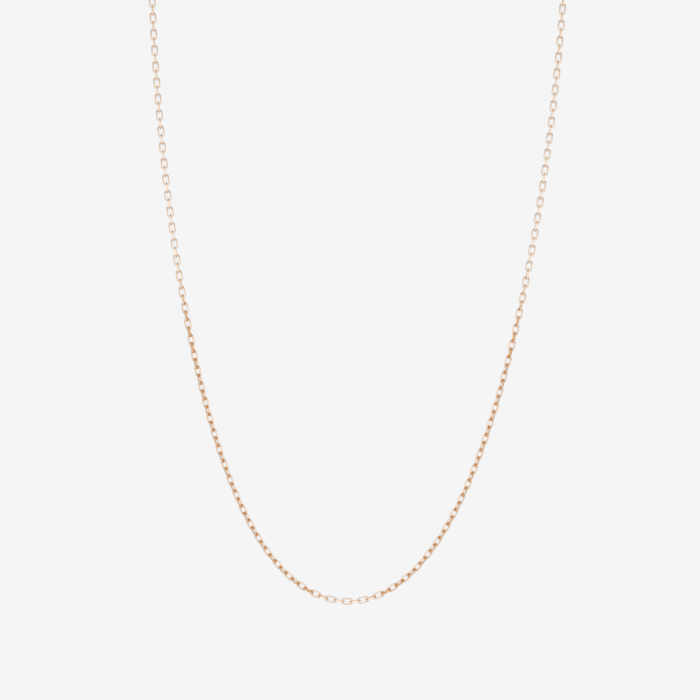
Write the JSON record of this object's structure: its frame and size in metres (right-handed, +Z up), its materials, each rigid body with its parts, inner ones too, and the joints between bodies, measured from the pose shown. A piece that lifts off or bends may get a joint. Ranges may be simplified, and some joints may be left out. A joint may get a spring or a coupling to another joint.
{
  "type": "chain necklace",
  "caption": "Fine rose-gold cable chain necklace, laid in an open U, with a spring-ring clasp and an end ring.",
  "frame": {"origin": "middle of the bounding box, at the level of the surface that the necklace lies on", "axes": "+X across the two strands, +Y from the front of the necklace to the clasp, +Z up from the surface"},
  "size_m": [0.0926, 0.212, 0.0022],
  "materials": {
    "rose_gold": "polished"
  },
  "bodies": {
    "front_links": {"front_links": "rose_gold"},
    "left_links_01": {"left_links_01": "rose_gold"},
    "left_links_02": {"left_links_02": "rose_gold"},
    "left_links_03": {"left_links_03": "rose_gold"},
    "left_links_04": {"left_links_04": "rose_gold"},
    "left_links_05": {"left_links_05": "rose_gold"},
    "left_links_06": {"left_links_06": "rose_gold"},
    "left_links_07": {"left_links_07": "rose_gold"},
    "left_links_08": {"left_links_08": "rose_gold"},
    "left_links_09": {"left_links_09": "rose_gold"},
    "left_links_10": {"left_links_10": "rose_gold"},
    "left_links_11": {"left_links_11": "rose_gold"},
    "left_links_12": {"left_links_12": "rose_gold"},
    "left_links_13": {"left_links_13": "rose_gold"},
    "left_links_14": {"left_links_14": "rose_gold"},
    "left_links_15": {"left_links_15": "rose_gold"},
    "left_links_16": {"left_links_16": "rose_gold"},
    "left_links_17": {"left_links_17": "rose_gold"},
    "left_links_18": {"left_links_18": "rose_gold"},
    "left_links_19": {"left_links_19": "rose_gold"},
    "left_links_20": {"left_links_20": "rose_gold"},
    "left_links_21": {"left_links_21": "rose_gold"},
    "left_links_22": {"left_links_22": "rose_gold"},
    "left_links_23": {"left_links_23": "rose_gold"},
    "left_links_24": {"left_links_24": "rose_gold"},
    "clasp_jump_ring": {"clasp_jump_ring": "rose_gold"},
    "clasp": {"clasp_case": "rose_gold", "clasp_eye": "rose_gold"},
    "right_links_01": {"right_links_01": "rose_gold"},
    "right_links_02": {"right_links_02": "rose_gold"},
    "right_links_03": {"right_links_03": "rose_gold"},
    "right_links_04": {"right_links_04": "rose_gold"},
    "right_links_05": {"right_links_05": "rose_gold"},
    "right_links_06": {"right_links_06": "rose_gold"},
    "right_links_07": {"right_links_07": "rose_gold"},
    "right_links_08": {"right_links_08": "rose_gold"},
    "right_links_09": {"right_links_09": "rose_gold"},
    "right_links_10": {"right_links_10": "rose_gold"},
    "right_links_11": {"right_links_11": "rose_gold"},
    "right_links_12": {"right_links_12": "rose_gold"},
    "right_links_13": {"right_links_13": "rose_gold"},
    "right_links_14": {"right_links_14": "rose_gold"},
    "right_links_15": {"right_links_15": "rose_gold"},
    "right_links_16": {"right_links_16": "rose_gold"},
    "right_links_17": {"right_links_17": "rose_gold"},
    "right_links_18": {"right_links_18": "rose_gold"},
    "right_links_19": {"right_links_19": "rose_gold"},
    "right_links_20": {"right_links_20": "rose_gold"},
    "right_links_21": {"right_links_21": "rose_gold"},
    "right_links_22": {"right_links_22": "rose_gold"},
    "right_links_23": {"right_links_23": "rose_gold"},
    "right_links_24": {"right_links_24": "rose_gold"},
    "end_jump_ring": {"end_jump_ring": "rose_gold"},
    "end_ring": {"end_ring": "rose_gold"},
    "clasp_bolt": {"clasp_bolt": "rose_gold"}
  },
  "joints": [
    {"name": "left_links_01_swing", "type": "hinge", "parent": "front_links", "child": "left_links_01", "pos_m": [-0.00459, -0.10466, 0.0011], "axis": [-0.2265, -0.9705, -0.082], "range_deg": [-60, 60]},
    {"name": "left_links_02_swing", "type": "hinge", "parent": "left_links_01", "child": "left_links_02", "pos_m": [-0.01232, -0.10037, 0.0011], "axis": [-0.2905, -0.3695, 0.8827], "range_deg": [-60, 60]},
    {"name": "left_links_03_swing", "type": "hinge", "parent": "left_links_02", "child": "left_links_03", "pos_m": [-0.01827, -0.09379, 0.0011], "axis": [0.6939, 0.5182, 0.5], "range_deg": [-60, 60]},
    {"name": "left_links_04_swing", "type": "hinge", "parent": "left_links_03", "child": "left_links_04", "pos_m": [-0.02286, -0.08617, 0.0011], "axis": [0.4421, 0.2336, -0.866], "range_deg": [-60, 60]},
    {"name": "left_links_05_swing", "type": "hinge", "parent": "left_links_04", "child": "left_links_05", "pos_m": [-0.02652, -0.07806, 0.0011], "axis": [-0.8017, -0.3277, -0.5], "range_deg": [-60, 60]},
    {"name": "left_links_06_swing", "type": "hinge", "parent": "left_links_05", "child": "left_links_06", "pos_m": [-0.02954, -0.06969, 0.0011], "axis": [-0.4744, -0.1579, 0.866], "range_deg": [-60, 60]},
    {"name": "left_links_07_swing", "type": "hinge", "parent": "left_links_06", "child": "left_links_07", "pos_m": [-0.03209, -0.06117, 0.0011], "axis": [-0.8339, -0.2337, -0.5], "range_deg": [-60, 60]},
    {"name": "left_links_08_swing", "type": "hinge", "parent": "left_links_07", "child": "left_links_08", "pos_m": [-0.0343, -0.05254, 0.0011], "axis": [-0.4524, -0.1091, 0.8851], "range_deg": [-60, 60]},
    {"name": "left_links_09_swing", "type": "hinge", "parent": "left_links_08", "child": "left_links_09", "pos_m": [-0.03623, -0.04386, 0.0011], "axis": [-0.9265, -0.1952, -0.3217], "range_deg": [-60, 60]},
    {"name": "left_links_10_swing", "type": "hinge", "parent": "left_links_09", "child": "left_links_10", "pos_m": [-0.03794, -0.03512, 0.0011], "axis": [0.1358, 0.0252, -0.9904], "range_deg": [-60, 60]},
    {"name": "left_links_11_swing", "type": "hinge", "parent": "left_links_10", "child": "left_links_11", "pos_m": [-0.03945, -0.02635, 0.0011], "axis": [0.9867, 0.1619, 0.012], "range_deg": [-60, 60]},
    {"name": "left_links_12_swing", "type": "hinge", "parent": "left_links_11", "child": "left_links_12", "pos_m": [-0.04079, -0.01755, 0.0011], "axis": [0, 0, 1], "range_deg": [-39, 60]},
    {"name": "left_links_13_swing", "type": "hinge", "parent": "left_links_12", "child": "left_links_13", "pos_m": [-0.04197, -0.00873, 0.0011], "axis": [0.9921, 0.1256, 0], "range_deg": [-60, 60]},
    {"name": "left_links_14_swing", "type": "hinge", "parent": "left_links_13", "child": "left_links_14", "pos_m": [-0.043, 0.00011, 0.0011], "axis": [0, 0, -1], "range_deg": [-60, 50]},
    {"name": "left_links_15_swing", "type": "hinge", "parent": "left_links_14", "child": "left_links_15", "pos_m": [-0.04387, 0.00897, 0.0011], "axis": [-0.9959, -0.0908, 0], "range_deg": [-60, 60]},
    {"name": "left_links_16_swing", "type": "hinge", "parent": "left_links_15", "child": "left_links_16", "pos_m": [-0.04458, 0.01784, 0.0011], "axis": [0, 0, 1], "range_deg": [-60, 60]},
    {"name": "left_links_17_swing", "type": "hinge", "parent": "left_links_16", "child": "left_links_17", "pos_m": [-0.04512, 0.02672, 0.0011], "axis": [-0.9986, -0.0527, 0], "range_deg": [-60, 60]},
    {"name": "left_links_18_swing", "type": "hinge", "parent": "left_links_17", "child": "left_links_18", "pos_m": [-0.04547, 0.03561, 0.0011], "axis": [0, 0, 1], "range_deg": [-60, 60]},
    {"name": "left_links_19_swing", "type": "hinge", "parent": "left_links_18", "child": "left_links_19", "pos_m": [-0.04563, 0.04451, 0.0011], "axis": [1, 0.0077, 0], "range_deg": [-60, 60]},
    {"name": "left_links_20_swing", "type": "hinge", "parent": "left_links_19", "child": "left_links_20", "pos_m": [-0.04556, 0.05341, 0.0011], "axis": [0, 0, -1], "range_deg": [-60, 60]},
    {"name": "left_links_21_swing", "type": "hinge", "parent": "left_links_20", "child": "left_links_21", "pos_m": [-0.04524, 0.06231, 0.0011], "axis": [0.9989, -0.0478, 0], "range_deg": [-60, 60]},
    {"name": "left_links_22_swing", "type": "hinge", "parent": "left_links_21", "child": "left_links_22", "pos_m": [-0.04464, 0.07119, 0.0011], "axis": [0, 0, 1], "range_deg": [-60, 60]},
    {"name": "left_links_23_swing", "type": "hinge", "parent": "left_links_22", "child": "left_links_23", "pos_m": [-0.04373, 0.08004, 0.0011], "axis": [-0.9931, 0.1171, 0], "range_deg": [-60, 60]},
    {"name": "left_links_24_swing", "type": "hinge", "parent": "left_links_23", "child": "left_links_24", "pos_m": [-0.04248, 0.08885, 0.0011], "axis": [0, 0, 1], "range_deg": [-60, 60]},
    {"name": "clasp_jump_ring_swing", "type": "hinge", "parent": "left_links_24", "child": "clasp_jump_ring", "pos_m": [-0.04083, 0.09759, 0.0011], "axis": [-0.9791, 0.2032, 0], "range_deg": [-60, 60]},
    {"name": "clasp_swing", "type": "hinge", "parent": "clasp_jump_ring", "child": "clasp", "pos_m": [-0.04054, 0.09894, 0.0011], "axis": [0, 0, 1], "range_deg": [-60, 60]},
    {"name": "right_links_01_swing", "type": "hinge", "parent": "front_links", "child": "right_links_01", "pos_m": [0.00459, -0.10466, 0.0011], "axis": [-0.2265, 0.9705, 0.082], "range_deg": [-60, 60]},
    {"name": "right_links_02_swing", "type": "hinge", "parent": "right_links_01", "child": "right_links_02", "pos_m": [0.01232, -0.10037, 0.0011], "axis": [0.2905, -0.3695, 0.8827], "range_deg": [-60, 60]},
    {"name": "right_links_03_swing", "type": "hinge", "parent": "right_links_02", "child": "right_links_03", "pos_m": [0.01827, -0.09379, 0.0011], "axis": [0.6939, -0.5182, -0.5], "range_deg": [-60, 60]},
    {"name": "right_links_04_swing", "type": "hinge", "parent": "right_links_03", "child": "right_links_04", "pos_m": [0.02286, -0.08617, 0.0011], "axis": [-0.4421, 0.2336, -0.866], "range_deg": [-60, 60]},
    {"name": "right_links_05_swing", "type": "hinge", "parent": "right_links_04", "child": "right_links_05", "pos_m": [0.02652, -0.07806, 0.0011], "axis": [0.8017, -0.3277, -0.5], "range_deg": [-60, 60]},
    {"name": "right_links_06_swing", "type": "hinge", "parent": "right_links_05", "child": "right_links_06", "pos_m": [0.02954, -0.06969, 0.0011], "axis": [0.4744, -0.1579, 0.866], "range_deg": [-60, 60]},
    {"name": "right_links_07_swing", "type": "hinge", "parent": "right_links_06", "child": "right_links_07", "pos_m": [0.03209, -0.06117, 0.0011], "axis": [-0.8339, 0.2337, 0.5], "range_deg": [-60, 60]},
    {"name": "right_links_08_swing", "type": "hinge", "parent": "right_links_07", "child": "right_links_08", "pos_m": [0.0343, -0.05254, 0.0011], "axis": [0.4524, -0.1091, 0.8851], "range_deg": [-60, 60]},
    {"name": "right_links_09_swing", "type": "hinge", "parent": "right_links_08", "child": "right_links_09", "pos_m": [0.03623, -0.04386, 0.0011], "axis": [-0.9265, 0.1952, 0.3217], "range_deg": [-60, 60]},
    {"name": "right_links_10_swing", "type": "hinge", "parent": "right_links_09", "child": "right_links_10", "pos_m": [0.03794, -0.03512, 0.0011], "axis": [0.1358, -0.0252, 0.9904], "range_deg": [-60, 60]},
    {"name": "right_links_11_swing", "type": "hinge", "parent": "right_links_10", "child": "right_links_11", "pos_m": [0.03945, -0.02635, 0.0011], "axis": [0.9867, -0.1619, -0.012], "range_deg": [-60, 60]},
    {"name": "right_links_12_swing", "type": "hinge", "parent": "right_links_11", "child": "right_links_12", "pos_m": [0.04079, -0.01755, 0.0011], "axis": [0, 0, -1], "range_deg": [-42, 60]},
    {"name": "right_links_13_swing", "type": "hinge", "parent": "right_links_12", "child": "right_links_13", "pos_m": [0.04197, -0.00873, 0.0011], "axis": [0.9921, -0.1256, 0], "range_deg": [-60, 60]},
    {"name": "right_links_14_swing", "type": "hinge", "parent": "right_links_13", "child": "right_links_14", "pos_m": [0.043, 0.00011, 0.0011], "axis": [0, 0, -1], "range_deg": [-53, 60]},
    {"name": "right_links_15_swing", "type": "hinge", "parent": "right_links_14", "child": "right_links_15", "pos_m": [0.04387, 0.00897, 0.0011], "axis": [-0.9959, 0.0908, 0], "range_deg": [-60, 60]},
    {"name": "right_links_16_swing", "type": "hinge", "parent": "right_links_15", "child": "right_links_16", "pos_m": [0.04458, 0.01784, 0.0011], "axis": [0, 0, 1], "range_deg": [-60, 60]},
    {"name": "right_links_17_swing", "type": "hinge", "parent": "right_links_16", "child": "right_links_17", "pos_m": [0.04512, 0.02672, 0.0011], "axis": [0.9986, -0.0527, 0], "range_deg": [-60, 60]},
    {"name": "right_links_18_swing", "type": "hinge", "parent": "right_links_17", "child": "right_links_18", "pos_m": [0.04547, 0.03561, 0.0011], "axis": [0, 0, 1], "range_deg": [-60, 60]},
    {"name": "right_links_19_swing", "type": "hinge", "parent": "right_links_18", "child": "right_links_19", "pos_m": [0.04563, 0.04451, 0.0011], "axis": [1, -0.0077, 0], "range_deg": [-60, 60]},
    {"name": "right_links_20_swing", "type": "hinge", "parent": "right_links_19", "child": "right_links_20", "pos_m": [0.04556, 0.05341, 0.0011], "axis": [0, 0, -1], "range_deg": [-60, 60]},
    {"name": "right_links_21_swing", "type": "hinge", "parent": "right_links_20", "child": "right_links_21", "pos_m": [0.04524, 0.06231, 0.0011], "axis": [0.9989, 0.0478, 0], "range_deg": [-60, 60]},
    {"name": "right_links_22_swing", "type": "hinge", "parent": "right_links_21", "child": "right_links_22", "pos_m": [0.04464, 0.07119, 0.0011], "axis": [0, 0, -1], "range_deg": [-60, 60]},
    {"name": "right_links_23_swing", "type": "hinge", "parent": "right_links_22", "child": "right_links_23", "pos_m": [0.04373, 0.08004, 0.0011], "axis": [-0.9931, -0.1171, 0], "range_deg": [-60, 60]},
    {"name": "right_links_24_swing", "type": "hinge", "parent": "right_links_23", "child": "right_links_24", "pos_m": [0.04248, 0.08885, 0.0011], "axis": [0, 0, -1], "range_deg": [-60, 60]},
    {"name": "end_jump_ring_swing", "type": "hinge", "parent": "right_links_24", "child": "end_jump_ring", "pos_m": [0.04083, 0.09759, 0.0011], "axis": [-0.9791, -0.2032, 0], "range_deg": [-60, 60]},
    {"name": "end_ring_swing", "type": "hinge", "parent": "end_jump_ring", "child": "end_ring", "pos_m": [0.04054, 0.09894, 0.0011], "axis": [0, 0, 1], "range_deg": [-50, 50]},
    {"name": "bolt_slide_round", "type": "hinge", "parent": "clasp", "child": "clasp_bolt", "pos_m": [-0.0396, 0.10296, 0.0011], "axis": [0, 0, 1], "range_deg": [0, 60], "stiffness_Nm_per_rad": 0.0002, "springref_deg": -28.65}
  ]
}
